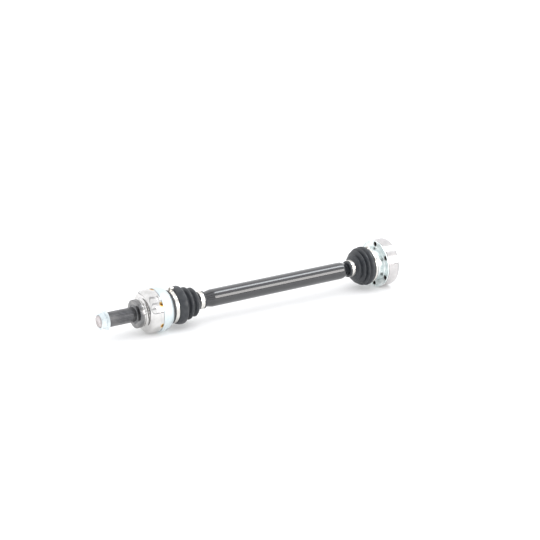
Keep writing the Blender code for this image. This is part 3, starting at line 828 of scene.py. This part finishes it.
def dress_cad_nodes():
    for cad_node in ("outer_race", "inner_race", "outer_cage", "inner_cage"):
        dress(frame["nodes"][cad_node], "bearing")
    for cad_node in ("outer_circlip", "inner_circlip", "outer_washer", "inner_washer"):
        dress(frame["nodes"][cad_node], "spring")


# ---------------------------------------------------------------- stage


def make_floor():
    """A pale floor that both joints rest on: the bell is 6 mm slimmer than the ring, so it tips a little."""
    low_left, low_right = -0.0441, -0.0501
    left, right = -0.2230, 0.3230
    slope = (low_right - low_left) / (right - left)
    height = low_left - slope * left
    mesh = bpy.data.meshes.new("floor")
    half = FLOOR_HALF
    square = ((-half, -half), (half, -half), (half, half), (-half, half))
    corners = [(x, y, height + slope * x) for x, y in square]
    mesh.from_pydata(corners, [], [(0, 1, 2, 3)])
    floor = bpy.data.objects.new("floor", mesh)
    bpy.context.scene.collection.objects.link(floor)
    material = bpy.data.materials.new("floor_paper")
    material.use_nodes = True
    tree = material.node_tree
    shader = tree.nodes["Principled BSDF"]
    tone = spread(tree, noise(tree, (3, 3, 3)), 0.0, 1.0)
    tree.links.new(mix(tree, tone, *FLOOR_TONES), shader.inputs["Base Color"])
    shader.inputs["Roughness"].default_value = 0.9
    shader.inputs["Specular IOR Level"].default_value = 0.1
    shader.inputs["Emission Color"].default_value = (1, 1, 1, 1)
    shader.inputs["Emission Strength"].default_value = FLOOR_GLOW
    mesh.materials.append(material)


def add_softbox(name, place, aim, size, radiance, colour):
    """An area light. Its power is the one that gives this radiance over its whole face."""
    light = bpy.data.lights.new(name, "AREA")
    light.shape = "RECTANGLE"
    light.size, light.size_y = size
    light.energy = radiance * math.pi * size[0] * size[1]
    light.color = colour
    obj = bpy.data.objects.new(name, light)
    obj.location = place
    direction = Vector(aim) - Vector(place)
    obj.rotation_euler = direction.to_track_quat("-Z", "Y").to_euler()
    obj.visible_diffuse = False
    bpy.context.scene.collection.objects.link(obj)
    return obj


def wall_gaps(tree, direction):
    """Darker gaps between the room's bright panels. They run along X, and only the -X end of the axle sees them.

    Each gap is the angle of its middle above the -Y horizon and half its width, in degrees.
    """
    place = node(tree, "ShaderNodeSeparateXYZ", {"Vector": direction}).outputs
    height = calc(tree, "ARCTAN2", place["Z"], calc(tree, "MULTIPLY", place["Y"], -1.0))
    share = 0.0
    for middle, half in GAPS:
        away = calc(tree, "ABSOLUTE", calc(tree, "SUBTRACT", height, math.radians(middle)))
        gap = spread(tree, away, 1.0, 0.0, math.radians(half), math.radians(half + 2))
        share = calc(tree, "MAXIMUM", share, gap)
    return calc(tree, "MULTIPLY", share, spread(tree, place["X"], 1.0, 0.0, 0.455, 0.475))


def make_stage():
    make_floor()
    world = bpy.data.worlds.new("studio")
    world.use_nodes = True
    tree = world.node_tree
    direction = node(tree, "ShaderNodeTexCoord").outputs["Generated"]
    up = node(tree, "ShaderNodeSeparateXYZ", {"Vector": direction}).outputs["Z"]
    top = math.sin(math.radians(HORIZON_TOP))
    tone = mix(tree, wall_gaps(tree, direction), ROOM_TONE, GAP_TONE)
    tone = mix(tree, spread(tree, up, 0.0, 1.0, top, top * 1.5), HORIZON_TONE, tone)
    tree.links.new(tone, tree.nodes["Background"].inputs["Color"])
    bpy.context.scene.world = world
    add_softbox("overhead_strip", (1.23, -0.226, 1.2), (1.23, -0.226, 0.0), (1.5, 0.42), 5.5, (0.93, 0.96, 1.0))
    add_softbox("front_softbox", (1.70, -2.0, 0.82), (1.70, 0.0, 0.82), (1.76, 1.24), 4.5, (1.0, 0.96, 0.94))
    sky = bpy.data.lights.new("ceiling_bounce", "SUN")
    sky.energy = CEILING_ENERGY
    sky.angle = math.radians(80)
    ceiling = bpy.data.objects.new("ceiling_bounce", sky)
    ceiling.rotation_euler = (math.radians(12), math.radians(8), 0)
    ceiling.visible_glossy = False
    bpy.context.scene.collection.objects.link(ceiling)
    bpy.context.scene.view_settings.view_transform = "Standard"


def make_camera():
    data = bpy.data.cameras.new("camera")
    data.lens = LENS
    data.sensor_width = SENSOR_WIDTH
    camera = bpy.data.objects.new("camera", data)
    bpy.context.scene.collection.objects.link(camera)
    turn, down = math.radians(CAMERA_TURN), math.radians(CAMERA_DOWN)
    forward = Vector((math.sin(turn) * math.cos(down), math.cos(turn) * math.cos(down), -math.sin(down)))
    camera.location = CAMERA_PLACE
    camera.rotation_euler = forward.to_track_quat("-Z", "Y").to_euler()
    bpy.context.scene.camera = camera


make_camera()
make_stage()
make_stub_and_bell()
make_nut()
make_can()
make_bar()
make_outer_boot()
make_inner_boot()
make_clamps()
make_ring()
make_cover()
make_gasket()
make_cap()
make_balls("outer", OUTER_CENTRE, 28.5, 8.0)
make_balls("inner", INNER_CENTRE, 27.0, 7.5)
dress_cad_nodes()
